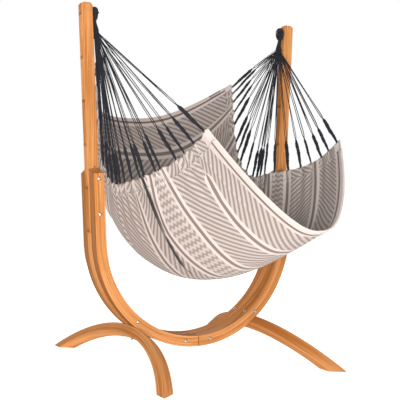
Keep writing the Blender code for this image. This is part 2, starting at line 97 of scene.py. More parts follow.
def slab(name, points, thickness, attributes, offset=0.0):
    """Closed sheet: a grid of mid points given a thickness, with round edges."""
    nu, nv = points.shape[:2]
    du = np.gradient(points, axis=0)
    dv = np.gradient(points, axis=1)
    normal = np.cross(du, dv)
    normal /= np.linalg.norm(normal, axis=2)[..., None] + 1e-12
    t = (np.broadcast_to(thickness, (nu, nv)) / 2)[..., None]
    mid = points + normal * offset
    top, low = mid + normal * t, mid - normal * t
    n = nu * nv
    verts = np.concatenate([top.reshape(-1, 3), low.reshape(-1, 3)])
    faces = quads(nu, nv) + quads(nu, nv, n, True)
    rim = ([i * nv for i in range(nu)] + [(nu - 1) * nv + j for j in range(1, nv)]
           + [i * nv + nv - 1 for i in range(nu - 2, -1, -1)] + [j for j in range(nv - 2, 0, -1)])
    # rim runs once round the grid; a middle row of points rounds the edge
    base = len(verts)
    du_e = du / (np.linalg.norm(du, axis=2)[..., None] + 1e-12)
    dv_e = dv / (np.linalg.norm(dv, axis=2)[..., None] + 1e-12)
    out_dir = np.zeros_like(points)
    out_dir[0] -= du_e[0]
    out_dir[-1] += du_e[-1]
    out_dir[:, 0] -= dv_e[:, 0]
    out_dir[:, -1] += dv_e[:, -1]
    bulge = (mid + out_dir * t * 0.8).reshape(-1, 3)
    verts = np.concatenate([verts, bulge[rim]])
    m = len(rim)
    for a in range(m):
        b = (a + 1) % m
        faces.append((rim[b], rim[a], base + a, base + b))
        faces.append((base + b, base + a, n + rim[a], n + rim[b]))
    attrs = {}
    for key, values in attributes.items():
        flat = np.asarray(values, float).reshape(n, -1)
        full = np.concatenate([flat, flat, flat[rim]])
        attrs[key] = full[:, 0] if full.shape[1] == 1 else full
    return new_object(name, verts, faces, attrs)


def frames_along(path):
    """Tangents and two steady cross directions of a run of points."""
    tangent = np.gradient(path, axis=0)
    tangent /= np.linalg.norm(tangent, axis=1)[:, None] + 1e-12
    first = np.cross(tangent[0], (0.0, 1.0, 0.0))
    if np.linalg.norm(first) < 0.2:
        first = np.cross(tangent[0], (1.0, 0.0, 0.0))
    a = first / np.linalg.norm(first)
    side = np.zeros_like(path)
    for i, t in enumerate(tangent):
        a = a - t * (a @ t)
        a /= np.linalg.norm(a)
        side[i] = a
    return tangent, side, np.cross(tangent, side)


def tube(path, radius, sides, groove=None, turn=0.0):
    """Points, faces and (along, round) of a closed tube; groove(along, angle) changes its radius."""
    path = np.asarray(path, float)
    n = len(path)
    radius = np.broadcast_to(radius, (n,)).astype(float)
    _, a, b = frames_along(path)
    along = np.concatenate([[0], np.cumsum(np.linalg.norm(np.diff(path, axis=0), axis=1))])
    angle = np.linspace(0, 2 * math.pi, sides, endpoint=False) + turn
    r = np.repeat(radius[:, None], sides, 1)
    if groove is not None:
        r = r + groove(along[:, None], angle[None, :])
    pts = path[:, None] + r[..., None] * (np.cos(angle)[None, :, None] * a[:, None] + np.sin(angle)[None, :, None] * b[:, None])
    verts = np.concatenate([pts.reshape(-1, 3), path[:1], path[-1:]])
    faces = quads(n, sides, wrap_v=True, flip=True)
    first, last = n * sides, n * sides + 1
    for j in range(sides):
        k = (j + 1) % sides
        faces.append((first, k, j))
        faces.append((last, (n - 1) * sides + j, (n - 1) * sides + k))
    ring = np.concatenate([np.repeat(along, sides), [along[0], along[-1]]])
    around = np.concatenate([np.tile(angle, n), [0, 0]])
    return verts, faces, ring, around


class Pile:
    """Collects tubes into one mesh."""

    def __init__(self):
        self.verts, self.faces, self.along, self.around, self.tone, self.count = [], [], [], [], [], 0

    # tone: third value of the wind attribute; the cord material paints shade by it
    def add(self, part, tone=0.5):
        verts, faces, along, around = part
        self.verts.append(verts)
        self.faces += [tuple(i + self.count for i in f) for f in faces]
        self.along.append(along)
        self.around.append(around)
        self.tone.append(np.full(len(verts), tone))
        self.count += len(verts)

    def done(self, name):
        coords = np.stack([np.concatenate(self.along), np.concatenate(self.around), np.concatenate(self.tone)], -1)
        return new_object(name, np.concatenate(self.verts), self.faces, {"wind": coords})


# ---------------------------------------------------------------- materials
class Nodes:
    def __init__(self, name):
        self.mat = bpy.data.materials.new(name)
        self.mat.use_nodes = True
        self.tree = self.mat.node_tree
        self.bsdf = self.tree.nodes["Principled BSDF"]

    def node(self, kind, **settings):
        node = self.tree.nodes.new(kind)
        for key, value in settings.items():
            setattr(node, key, value)
        return node

    def put(self, socket, value):
        if isinstance(value, bpy.types.NodeSocket):
            self.tree.links.new(value, socket)
        elif isinstance(value, (tuple, list)) and len(value) == 3 and socket.type == "RGBA":
            socket.default_value = (*value, 1.0)
        else:
            socket.default_value = value

    def math(self, op, a, b=None, c=None, clamp=False):
        node = self.node("ShaderNodeMath", operation=op, use_clamp=clamp)
        for socket, value in zip(node.inputs, (a, b, c)):
            if value is not None:
                self.put(socket, value)
        return node.outputs[0]

    def band(self, value, low, high, soft):
        """1 between low and high, with soft sides."""
        a = self.smooth(value, low - soft, low + soft)
        b = self.smooth(value, high - soft, high + soft)
        return self.math("SUBTRACT", a, b, clamp=True)

    def smooth(self, value, low, high, to_low=0.0, to_high=1.0):
        node = self.node("ShaderNodeMapRange", interpolation_type="SMOOTHSTEP")
        for key, v in (("Value", value), ("From Min", low), ("From Max", high), ("To Min", to_low), ("To Max", to_high)):
            self.put(node.inputs[key], v)
        return node.outputs["Result"]

    def mix(self, factor, a, b, blend="MIX"):
        node = self.node("ShaderNodeMix", data_type="RGBA", blend_type=blend)
        self.put(node.inputs["Factor"], factor)
        self.put(node.inputs["A"], a)
        self.put(node.inputs["B"], b)
        return next(o for o in node.outputs if o.type == "RGBA")

    def noise(self, vector, scale, detail=3.0, rough=0.55, distortion=0.0):
        node = self.node("ShaderNodeTexNoise")
        self.put(node.inputs["Vector"], vector)
        self.put(node.inputs["Scale"], scale)
        self.put(node.inputs["Detail"], detail)
        self.put(node.inputs["Roughness"], rough)
        self.put(node.inputs["Distortion"], distortion)
        return node.outputs["Fac"] if "Fac" in node.outputs else node.outputs[0]

    def attribute(self, name, output="Vector"):
        return self.node("ShaderNodeAttribute", attribute_name=name).outputs[output]

    def split(self, vector):
        node = self.node("ShaderNodeSeparateXYZ")
        self.put(node.inputs[0], vector)
        return node.outputs

    def join(self, x, y, z):
        node = self.node("ShaderNodeCombineXYZ")
        for socket, value in zip(node.inputs, (x, y, z)):
            self.put(socket, value)
        return node.outputs[0]

    def bump(self, height, strength, distance, normal=None):
        node = self.node("ShaderNodeBump")
        self.put(node.inputs["Height"], height)
        self.put(node.inputs["Strength"], strength)
        self.put(node.inputs["Distance"], distance)
        if normal is not None:
            self.put(node.inputs["Normal"], normal)
        return node.outputs[0]

    def out(self, **values):
        for key, value in values.items():
            self.put(self.bsdf.inputs[key.replace("_", " ").title().replace("Ior", "IOR")], value)
        return self.mat


def wood_material(name, coords=None, tone=1.0, seed=0.0):
    """Oiled laminated wood.  Coordinates: along the grain, across the layers, across the width."""
    n = Nodes(name)
    if coords == "post":
        x, y, z = n.split(n.node("ShaderNodeTexCoord").outputs["Object"])
        along, across, wide = z, x, y
    else:
        along, across, wide = n.split(n.attribute("grain"))
    along = n.math("ADD", along, seed)
    layer = n.math("FLOOR", n.math("DIVIDE", n.math("ADD", across, 0.5), 0.0095))
    jump = n.math("MULTIPLY", layer, 3.71)
    stretched = n.join(n.math("MULTIPLY", along, 1.6), n.math("ADD", n.math("MULTIPLY", across, 60.0), jump),
                       n.math("MULTIPLY", wide, 34.0))
    fibre = n.join(n.math("MULTIPLY", along, 9.0), n.math("ADD", n.math("MULTIPLY", across, 520.0), jump),
                   n.math("MULTIPLY", wide, 520.0))
    figure = n.noise(stretched, 1.0, 4.0, 0.6, 0.6)
    fine = n.noise(fibre, 1.0, 3.0, 0.6)
    blotch = n.noise(n.join(n.math("MULTIPLY", along, 3.0), n.math("MULTIPLY", across, 8.0), n.math("MULTIPLY", wide, 8.0)), 1.0, 2.0)
    light = tuple(c * tone for c in (0.572, 0.264, 0.101))
    dark = tuple(c * tone for c in (0.372, 0.128, 0.028))
    colour = n.mix(n.smooth(figure, 0.38, 0.68), light, dark)
    colour = n.mix(n.math("MULTIPLY", n.smooth(fine, 0.50, 0.72), 0.35), colour, tuple(c * 0.62 for c in dark))
    colour = n.mix(n.math("MULTIPLY", n.smooth(blotch, 0.45, 0.75), 0.22), colour, tuple(c * 0.8 for c in dark))
    # each laminate has its own shade, and a thin dark glue line under it
    tint = n.node("ShaderNodeTexWhiteNoise", noise_dimensions="1D")
    n.put(tint.inputs["W"], n.math("ADD", layer, seed))
    colour = n.mix(n.math("MULTIPLY", tint.outputs["Value"], 0.34), colour, tuple(c * 0.72 for c in dark))
    edge = n.math("FRACT", n.math("DIVIDE", n.math("ADD", across, 0.5), 0.0095))
    line = n.band(edge, 0.0, 0.075, 0.03)
    colour = n.mix(n.math("MULTIPLY", line, 0.58), colour, tuple(c * 0.34 for c in dark))
    rough = n.smooth(fine, 0.3, 0.8, 0.40, 0.58)
    height = n.math("SUBTRACT", n.math("MULTIPLY", fine, 0.7), n.math("MULTIPLY", line, 0.6))
    return n.out(base_color=colour, roughness=rough, specular_ior_level=0.0, coat_weight=0.05, coat_roughness=0.35,
                 normal=n.bump(height, 0.22, 0.0006))


def steel_material(name, tone=1.0):
    n = Nodes(name)
    where = n.node("ShaderNodeTexCoord").outputs["Object"]
    spots = n.noise(where, 900.0, 3.0)
    wear = n.noise(where, 160.0, 2.0)
    colour = n.mix(n.smooth(spots, 0.4, 0.7), tuple(c * tone for c in (0.44, 0.42, 0.40)), tuple(c * tone for c in (0.26, 0.25, 0.24)))
    return n.out(base_color=colour, metallic=1.0, roughness=n.smooth(wear, 0.3, 0.75, 0.20, 0.38),
                 normal=n.bump(spots, 0.08, 0.0002))


def cord_material(name):
    """Matt black spun cord, wound; the attribute gives (along, round, painted shade)."""
    n = Nodes(name)
    along, around, shade = n.split(n.attribute("wind"))
    ply = n.math("SINE", n.math("ADD", n.math("MULTIPLY", along, 3400.0), n.math("MULTIPLY", around, 2.0)))
    fuzz = n.noise(n.node("ShaderNodeTexCoord").outputs["Object"], 2600.0, 2.0)
    colour = n.mix(n.smooth(ply, -1.0, 1.0), (0.0065, 0.0065, 0.0095), (0.0200, 0.0205, 0.0270))
    colour = n.mix(n.math("MULTIPLY", n.smooth(fuzz, 0.55, 0.75), 0.30), colour, (0.055, 0.055, 0.062))
    # painted shade: the cord is darkened by its shade value, most in the gather under the neck
    colour = n.mix(shade, colour, (0.0045, 0.0045, 0.006))
    height = n.math("ADD", n.math("MULTIPLY", ply, 0.5), fuzz)
    return n.out(base_color=colour, roughness=0.80, specular_ior_level=0.18, sheen_weight=0.04, sheen_roughness=0.5,
                 normal=n.bump(height, 0.35, 0.0004))


LENGTH, WIDTH = 2.40, 1.44
STRIPES = (0.130, 0.250, 0.335, 0.440, 0.560, 0.665, 0.750, 0.870)
BEIGE, TAUPE, BROWN = (0.456, 0.387, 0.355), (0.206, 0.166, 0.142), (0.115, 0.080, 0.058)
HATCH_SIGN = (-1, 1, 0, 1, -1, 1, 0, -1, 1)      # lean of the hatch in each field between stripes; 0 is a zigzag field


def cloth_material(name, flip=1.0, plain=False, hatch_dark=0.92):
    """Woven stripes, herringbone hatch and zigzag.

    Attribute weave: across (m), along (m) from the field's first stripe, distance in a hem (0..1).
    Attribute strip: distance to the nearest stripe's middle (m), lean of the hatch, width of that stripe (0..1)."""
    n = Nodes(name)
    u, w, t = n.split(n.attribute("weave"))
    if plain:
        pattern = n.band(t, 0.520, 0.790, 0.030)
        colour = n.mix(n.math("MULTIPLY", pattern, 0.95), tuple(min(1.0, c * 1.20) for c in BEIGE), BROWN)
        soft = n.noise(n.join(u, w, 0.0), 14.0, 3.0)
        colour = n.mix(n.math("MULTIPLY", n.smooth(soft, 0.4, 0.8), 0.12), colour, tuple(c * 0.7 for c in BEIGE))
    else:
        near, lean, full = n.split(n.attribute("strip"))
        wobble = n.math("MULTIPLY", n.math("SUBTRACT", n.noise(n.join(u, w, 0.0), 22.0, 2.0), 0.5), 0.0035)
        w_s = n.math("ADD", w, wobble)
        zig = n.math("SUBTRACT", 1.0, n.math("ABSOLUTE", lean), clamp=True)
        zig = n.smooth(zig, 0.45, 0.55)
        slant = n.math("MULTIPLY", n.math("MULTIPLY", u, 25.0 * flip), lean)
        phase = n.math("ADD", n.math("MULTIPLY", w_s, 26.5), slant)
        hatch = n.math("ADD", n.math("MULTIPLY", n.math("SINE", n.math("MULTIPLY", phase, 2 * math.pi)), 0.5), 0.5)
        tooth = n.math("MULTIPLY", n.math("SINE", n.math("MULTIPLY", w_s, 2 * math.pi / 0.0340)), 0.0068)
        zphase = n.math("MULTIPLY", n.math("ADD", u, tooth), 25.6)
        zag = n.math("ADD", n.math("MULTIPLY", n.math("SINE", n.math("MULTIPLY", zphase, 2 * math.pi)), 0.5), 0.5)
        lines = n.math("ADD", n.math("MULTIPLY", n.smooth(hatch, 0.26, 0.78), n.math("SUBTRACT", 1.0, zig)),
                       n.math("MULTIPLY", n.math("MULTIPLY", n.smooth(zag, 0.32, 0.76), zig), 0.86))
        lines = n.math("MULTIPLY", lines, hatch_dark)
        base = n.mix(lines, BEIGE, TAUPE)
        # stripe: beige, taupe, beige
        reach = n.math("MULTIPLY", full, 0.0375)
        core = n.math("MULTIPLY", full, 0.0130)
        beige_strip = n.smooth(n.math("SUBTRACT", near, reach), 0.0009, -0.0009)
        taupe_strip = n.smooth(n.math("SUBTRACT", near, core), 0.0009, -0.0009)
        shown = n.math("GREATER_THAN", full, 0.03)
        colour = n.mix(n.math("MULTIPLY", beige_strip, shown), base, tuple(min(1.0, c * 1.27) for c in BEIGE))
        colour = n.mix(n.math("MULTIPLY", taupe_strip, shown), colour, tuple(c * 0.86 for c in TAUPE))
        border = n.attribute("border", "Fac")
        colour = n.mix(n.smooth(border, 0.46, 0.54), colour, tuple(min(1.0, c * 1.27) for c in BEIGE))
        # painted shade: cloth low in a fold is painted near-black, standing in for being out of the light
        painted_shade = n.attribute("painted_shade", "Fac")
        colour = n.mix(n.math("MULTIPLY", painted_shade, 0.99), colour, tuple(c * 0.07 for c in TAUPE))
    # thread by thread: warp along the cloth, weft across
    warp = n.math("SINE", n.math("MULTIPLY", u, 2 * math.pi / 0.0017))
    weft = n.math("SINE", n.math("MULTIPLY", w, 2 * math.pi / 0.0017))
    cross = n.math("MULTIPLY", warp, weft)
    slub = n.noise(n.join(n.math("MULTIPLY", u, 60.0), n.math("MULTIPLY", w, 900.0), 0.0), 1.0, 2.0)
    colour = n.mix(n.smooth(cross, -1.0, 1.0, 0.0, 0.16), colour, tuple(c * 0.52 for c in BEIGE))
    colour = n.mix(n.smooth(slub, 0.55, 0.8, 0.0, 0.14), colour, tuple(min(1.0, c * 1.15) for c in BEIGE))
    height = n.math("ADD", cross, n.math("MULTIPLY", slub, 0.8))
    return n.out(base_color=colour, roughness=0.90, specular_ior_level=0.12, sheen_weight=0.05, sheen_roughness=0.45,
                 normal=n.bump(height, 0.30, 0.0005))


def label_material(name):
    n = Nodes(name)
    u, w, _ = n.split(n.attribute("weave"))
    rib = n.math("SINE", n.math("MULTIPLY", w, 2 * math.pi / 0.0012))
    grain = n.noise(n.join(u, w, 0.0), 700.0, 2.0)
    colour = n.mix(n.smooth(rib, -1.0, 1.0), (0.085, 0.072, 0.066), (0.150, 0.130, 0.120))
    colour = n.mix(n.smooth(grain, 0.5, 0.8, 0.0, 0.3), colour, (0.24, 0.21, 0.19))
    return n.out(base_color=colour, roughness=0.85, sheen_weight=0.15, sheen_roughness=0.5, normal=n.bump(rib, 0.3, 0.0003))


def thread_material(name, tone=1.0):
    n = Nodes(name)
    along, around, _ = n.split(n.attribute("wind"))
    ply = n.math("SINE", n.math("ADD", n.math("MULTIPLY", along, 5200.0), around))
    colour = n.mix(n.smooth(ply, -1.0, 1.0), tuple(c * tone for c in (0.62, 0.57, 0.52)), tuple(c * tone for c in (0.90, 0.87, 0.83)))
    return n.out(base_color=colour, roughness=0.7, sheen_weight=0.2, sheen_roughness=0.4, normal=n.bump(ply, 0.3, 0.0002))


def give(obj, mat, slot, body, *nodes):
    obj.data.materials.clear()
    obj.data.materials.append(mat)
    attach(obj, body)
    if nodes:
        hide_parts(*nodes)
    return obj


WOOD = wood_material("oiled_wood")
WOOD_B = wood_material("oiled_wood_core", tone=0.93, seed=7.3)
WOOD_POST = wood_material("oiled_wood_post", coords="post", seed=3.1)
STEEL = steel_material("zinc_steel")
DARK_STEEL = steel_material("dark_steel", 0.30)
CORD = cord_material("black_cord")
CLOTH = cloth_material("striped_weave")
BAND_CLOTH = cloth_material("striped_weave_band", flip=-1.0)
HEM_CLOTH = cloth_material("hem_weave", plain=True)
LABEL = label_material("bare_label")
THREAD = thread_material("sewing_thread")
# painted shadow: the band seam thread is near-black, standing in for the shadow of the overlapped band
SEAM_SHADOW_THREAD = thread_material("band_seam_shadow_thread", 0.20)

# -------------------------------------------------------------- the stand
BEND_R, BEND_Z, BEAM_T, LAYER_Y, CORE_Y, CORE_STEP = 0.568, 0.674, 0.057, 0.060, 0.045, 0.003
LEAN, BEAM_TOP, BEAM_CHAMFER = math.radians(2.5), 1.025, 0.020
JOINT_SLOT, TONGUE_X, POST_BOTTOM, GAP = 0.005, -0.115, 0.700, 0.0003
FOOT_PHI, FOOT_R, FOOT_LIFT, FOOT_T, FOOT_W = math.radians(36.0), 1.008, 0.0033, 0.050, 0.060
LAYER_AT = CORE_Y / 2 + LAYER_Y / 2
BEND_END = math.pi / 2 - LEAN
E_X, E_Z = BEND_R * math.sin(BEND_END), BEND_Z - BEND_R * math.cos(BEND_END)


def rounded_section(half_a, half_b, r, steps=4):
    """Outline of a rounded rectangle as (a, b) points, anticlockwise."""
    out = []
    for ca, cb, start in ((half_a - r, half_b - r, 0), (-half_a + r, half_b - r, 90),
                          (-half_a + r, -half_b + r, 180), (half_a - r, -half_b + r, 270)):
        for k in range(steps + 1):
            a = math.radians(start + 90 * k / steps)
            out.append((ca + r * math.cos(a), cb + r * math.sin(a)))
    # extra points along the long sides keep the shading even
    dense = []
    for i, p in enumerate(out):
        q = out[(i + 1) % len(out)]
        dense.append(p)
        gap = math.dist(p, q)
        for k in range(1, max(1, int(gap / 0.018))):
            f = k / max(1, int(gap / 0.018))
            dense.append((p[0] + (q[0] - p[0]) * f, p[1] + (q[1] - p[1]) * f))
    return np.array(dense)


def sweep(name, rings, along, section_coords):
    """Closed solid from rings of points, with flat end caps."""
    n, m = rings.shape[:2]
    verts = rings.reshape(-1, 3)
    faces = quads(n, m, wrap_v=True)
    faces.append(tuple(range(m))[::-1])
    faces.append(tuple((n - 1) * m + j for j in range(m)))
    grain = np.concatenate([np.repeat(along, m)[:, None], section_coords.reshape(-1, 2)], 1)
    obj = new_object(name, verts, faces, {"grain": grain})
    bm = bmesh.new()
    bm.from_mesh(obj.data)
    bmesh.ops.recalc_face_normals(bm, faces=bm.faces)
    bm.to_mesh(obj.data)
    bm.free()
    obj.data.set_sharp_from_angle(angle=math.radians(38))
    return obj


def j_beam(name, side, y_at, half_off, half_y, x_joint, top, chamfer):
    section = rounded_section(half_off, half_y, 0.0026)
    steps = 96
    stations = []
    for i in range(steps + 1):
        stations.append(("bend", i / steps, 0.0))
    length = (top - E_Z) / math.cos(LEAN)
    drop = 1.2 * chamfer
    for s in np.linspace(0, length - 1.7 * drop, 22)[1:]:
        stations.append(("straight", s, 0.0))
    if chamfer:
        stations.append(("slope", length - 0.04 * drop, 0.0))
        stations.append(("slope", length, 0.0022))
    rings, along, coords = [], [], []
    for kind, value, pinch in stations:
        ring = []
        for off, y in section:
            o = off * (half_off - pinch) / half_off
            if kind == "bend":
                start = math.asin(x_joint / (BEND_R + o))
                phi = start + (BEND_END - start) * value
                x, z = (BEND_R + o) * math.sin(phi), BEND_Z - (BEND_R + o) * math.cos(phi)
            else:
                up = value
                if kind == "slope":
                    outward = (math.copysign(1.0, y_at) * y + half_y) / (2 * half_y)
                    up = value - drop * outward
                    y = y * (half_y - pinch) / half_y
                x = E_X + up * math.sin(LEAN) + o * math.cos(LEAN)
                z = E_Z + up * math.cos(LEAN) - o * math.sin(LEAN)
            ring.append((side * x, y_at + y, z))
        rings.append(ring)
        along.append(BEND_R * BEND_END * value if kind == "bend" else BEND_R * BEND_END + value)
        coords.append([(off + side * 0.3, y + y_at) for off, y in section])
    return sweep(name, np.array(rings), np.array(along), np.array(coords))


for label, side in SIDES:
    for tag, sign in (("front", -1), ("rear", 1)):
        beam = j_beam(f"{label}_{tag}_beam_wood", side, sign * LAYER_AT, BEAM_T / 2, LAYER_Y / 2 - GAP,
                      JOINT_SLOT / 2, BEAM_TOP, BEAM_CHAMFER)
        give(beam, WOOD, "wood", "stand", f"{label}_{tag}_beam")
    x_joint = TONGUE_X if side > 0 else -TONGUE_X + 0.002
    core = j_beam(f"{label}_core_beam_wood", side, 0.0, BEAM_T / 2 - CORE_STEP, CORE_Y / 2 - GAP,
                  x_joint, POST_BOTTOM - GAP, 0.0)
    give(core, WOOD_B, "wood", "stand", f"{label}_core_beam")

    # arched foot
    e_r = np.array((side * math.sin(FOOT_PHI), 0.0, -math.cos(FOOT_PHI)))
    e_t = np.array((math.cos(FOOT_PHI), 0.0, side * math.sin(FOOT_PHI)))
    centre = np.array((0.0, 0.0, BEND_Z))
    r_out = BEND_R + BEAM_T / 2
    r_top, r_seat = r_out - FOOT_LIFT, r_out + GAP
    reach = math.asin(0.72 / FOOT_R)
    section = rounded_section(FOOT_T / 2, FOOT_W / 2, 0.0026)
    rings, along, coords = [], [], []
    for b in np.linspace(-reach, reach, 150):
        ring = []
        for a, c in section:
            f = (a + FOOT_T / 2) / FOOT_T        # 0 on the lower face, 1 on the upper
            f = min(max(f, 0.0), 1.0)
            rad = FOOT_R - FOOT_T * (1 - f)
            y = rad * math.sin(b)
            r = r_top + FOOT_T * (1 - f) + rad * (1 - math.cos(b))
            r = max(r, r_seat)
            ring.append(centre + np.array((0.0, y, 0.0)) + e_r * r + e_t * c)
        rings.append(ring)
        along.append(FOOT_R * b + 1.0)
        coords.append([(a + 0.2 * side, c) for a, c in section])
    foot = sweep(f"{label}_foot_wood", np.array(rings), np.array(along), np.array(coords))
    bm = bmesh.new()
    bm.from_mesh(foot.data)
    cut = bmesh.ops.bisect_plane(bm, geom=bm.verts[:] + bm.edges[:] + bm.faces[:], dist=1e-6, plane_co=(0, 0, 0),
                                 plane_no=(0, 0, 1), clear_inner=True)
    rim = [g for g in cut["geom_cut"] if isinstance(g, bmesh.types.BMEdge)]
    bmesh.ops.holes_fill(bm, edges=rim, sides=0)
    bmesh.ops.recalc_face_normals(bm, faces=bm.faces)
    bm.to_mesh(foot.data)
    bm.free()
    foot.data.set_sharp_from_angle(angle=math.radians(38))
    give(foot, WOOD, "wood", "stand", f"{label}_foot")

for name, node in frame["nodes"].items():
    if name.endswith("_post"):
        node.data.materials.clear()
        node.data.materials.append(WOOD_POST)
    elif any(k in name for k in ("bolt", "nut", "sleeve", "washer")):
        node.data.materials.clear()
        node.data.materials.append(DARK_STEEL if "hanging" in name or "washer" in name else STEEL)

# -------------------------------------------------------------- the cloth
MID_Y = (0.788, 0.549, 0.365, 0.024, -0.377, -0.757, -1.116)
MID_Z = (1.342, 1.040, 0.659, 0.451, 0.483, 0.612, 0.757)
EDGE_X = (0.432, 0.425, 0.416, 0.395, 0.383, 0.386, 0.384)
EDGE_Y = (0.314, 0.178, 0.096, -0.019, -0.190, -0.440, -0.743)
EDGE_Z = (1.526, 1.314, 1.046, 0.976, 1.004, 1.070, 1.190)
SKEW_X = (0.015, -0.035, -0.045, -0.010, 0.006, 0.064, 0.027)
SKEW_Y = (-0.013, 0.012, 0.008, -0.001, 0.015, 0.009, 0.004)
SKEW_Z = (0.014, 0.036, 0.054, 0.018, 0.008, -0.015, -0.014)
CUP = (2.587, 2.655, 2.608, 2.576, 2.605)
CUP_SKEW = (-0.009, -0.044, -0.038, -0.010, 0.149)
BELLY = (0.025, 0.162, 0.062, -0.057, -0.107)
DRIFT_X = (0.006, -0.013, -0.003, 0.015, -0.010)
BAND, HEM, CORDS = 0.045, 0.026, 20
PITCH_V = 1.0 / (CORDS - 0.3)
# where each cord's wrapped end meets the cloth's side edge, from rear to front
CORD_V = np.array(((0.020, 0.075, 0.130, 0.185, 0.240, 0.295, 0.345, 0.392, 0.430, 0.459, 0.498, 0.558, 0.623, 0.651,
                    0.712, 0.735, 0.812, 0.855, 0.914, 0.984),
                   (0.020, 0.060, 0.107, 0.155, 0.204, 0.267, 0.310, 0.350, 0.424, 0.498, 0.545, 0.589, 0.625, 0.691,
                    0.753, 0.804, 0.848, 0.896, 0.937, 0.984)))


def spline_through(values, t):
    y = np.asarray(values, float)
    n = len(y) - 1
    a = np.zeros((n + 1, n + 1))
    rhs = np.zeros(n + 1)
    a[0, 0] = a[n, n] = 1.0
    for i in range(1, n):
        a[i, i - 1:i + 2] = (1.0, 4.0, 1.0)
        rhs[i] = 6.0 * (y[i - 1] - 2 * y[i] + y[i + 1])
    m = np.linalg.solve(a, rhs)
    u = np.clip(np.asarray(t, float), 0.0, 1.0) * n
    i = np.minimum(u.astype(int), n - 1)
    f = u - i
    return (y[i] * (1 - f) + y[i + 1] * f
            + ((1 - f) ** 3 - (1 - f)) * m[i] / 6 + (f ** 3 - f) * m[i + 1] / 6)


def cloth_point(s, v):
    s, v = np.broadcast_arrays(np.asarray(s, float), np.asarray(v, float))
    a = np.maximum(np.abs(s), 1e-6)
    power = spline_through(CUP, v) + spline_through(CUP_SKEW, v) * s
    rise = a ** power
    half = spline_through(EDGE_X, v) + spline_through(SKEW_X, v) * s
    y_edge = spline_through(EDGE_Y, v) + spline_through(SKEW_Y, v) * s
    z_edge = spline_through(EDGE_Z, v) + spline_through(SKEW_Z, v) * s
    y_mid, z_mid = spline_through(MID_Y, v), spline_through(MID_Z, v)
    x = half * (s + spline_through(BELLY, v) * np.sin(math.pi * s)) + spline_through(DRIFT_X, v) * (1 - a ** 2)
    return np.stack([x, y_mid + (y_edge - y_mid) * rise, z_mid + (z_edge - z_mid) * rise], -1)


def cloth_normal(s, v):
    e = 1e-4
    s, v = np.broadcast_arrays(np.asarray(s, float), np.asarray(v, float))
    ds = cloth_point(np.clip(s + e, -1, 1), v) - cloth_point(np.clip(s - e, -1, 1), v)
    dv = cloth_point(s, np.clip(v + e, 0, 1)) - cloth_point(s, np.clip(v - e, 0, 1))
    n = np.cross(ds, dv)
    return n / (np.linalg.norm(n, axis=-1)[..., None] + 1e-12)


def ease(x, a, b):
    t = np.clip((np.asarray(x, float) - a) / (b - a), 0, 1)
    return t * t * (3 - 2 * t)


rng = np.random.default_rng(11)
WAVES = [(rng.uniform(-5, 5), rng.uniform(9, 34), rng.uniform(0, 6.283), rng.uniform(0.5, 1.0)) for _ in range(16)]
PLEAT = rng.uniform(0.55, 1.3, (2, CORDS + 2))
PLEAT_LONG = rng.uniform(-1.0, 1.0, (2, CORDS + 2))

# creases: (side, v at the edge, |s| where it dies, v there, depth, half width in v)
CREASES = ((-1, 0.634, 0.30, 0.607, 0.012, 0.0032), (-1, 0.866, 0.66, 0.874, 0.002, 0.0060),
           (-1, 0.912, 0.45, 0.934, 0.0022, 0.0060), (-1, 0.420, 0.40, 0.440, 0.007, 0.0080),
           (-1, 0.300, 0.55, 0.330, 0.010, 0.0110), (-1, 0.500, 0.60, 0.515, 0.003, 0.0090),
           (1, 0.360, 0.50, 0.400, 0.006, 0.0100), (1, 0.585, 0.50, 0.560, 0.005, 0.0090),
           (1, 0.160, 0.60, 0.200, 0.006, 0.0110), (-1, 0.110, 0.40, 0.160, 0.017, 0.0140),
           (-1, 0.205, 0.45, 0.240, 0.015, 0.0130), (1, 0.780, 0.62, 0.800, 0.002, 0.0090),
           (1, 0.652, 0.70, 0.636, -0.012, 0.0070))


def painted_fold_shade(s, v, across):
    """Painted shade, 0 to 1: how far down in the fold of the left wall a place lies, and where the right wall tucks in
    behind the front edge.
    """
    a = np.abs(s)
    t = np.clip((a - 0.30) / 0.70, 0, 1)
    lower = ease(across, -0.40, -0.36) * (1 - ease(across, -0.24, -0.19))
    x = (v - (0.607 + 0.027 * t)) / (0.0019 + 0.0017 * lower + 0.0052 * ease(t, 0.52, 0.9))
    left = np.exp(-x ** 6) * np.clip(0.72 * ease(t, 0.0, 0.1) + 0.28 * ease(t, 0.5, 0.8) + 0.28 * lower, 0, 1)
    # painted shade where the right wall is tucked in behind the front edge
    t = np.clip((a - 0.76) / 0.24, 0, 1)
    x = (v - (0.634 + 0.016 * t)) / (0.0030 + 0.0060 * t)
    return np.where(s < 0, left, 0.86 * np.exp(-x ** 2) * ease(t, 0.0, 0.4))


def cord_number(s, v):
    """Which cord a place on the edge belongs to, counted from the rear; whole at a cord."""
    marks = np.arange(CORDS)
    ends = [np.concatenate([[c[0] - PITCH_V], c, [c[-1] + PITCH_V]]) for c in CORD_V]
    marks = np.concatenate([[-1], marks, [CORDS]])
    return np.where(s > 0, np.interp(v, ends[1], marks), np.interp(v, ends[0], marks))


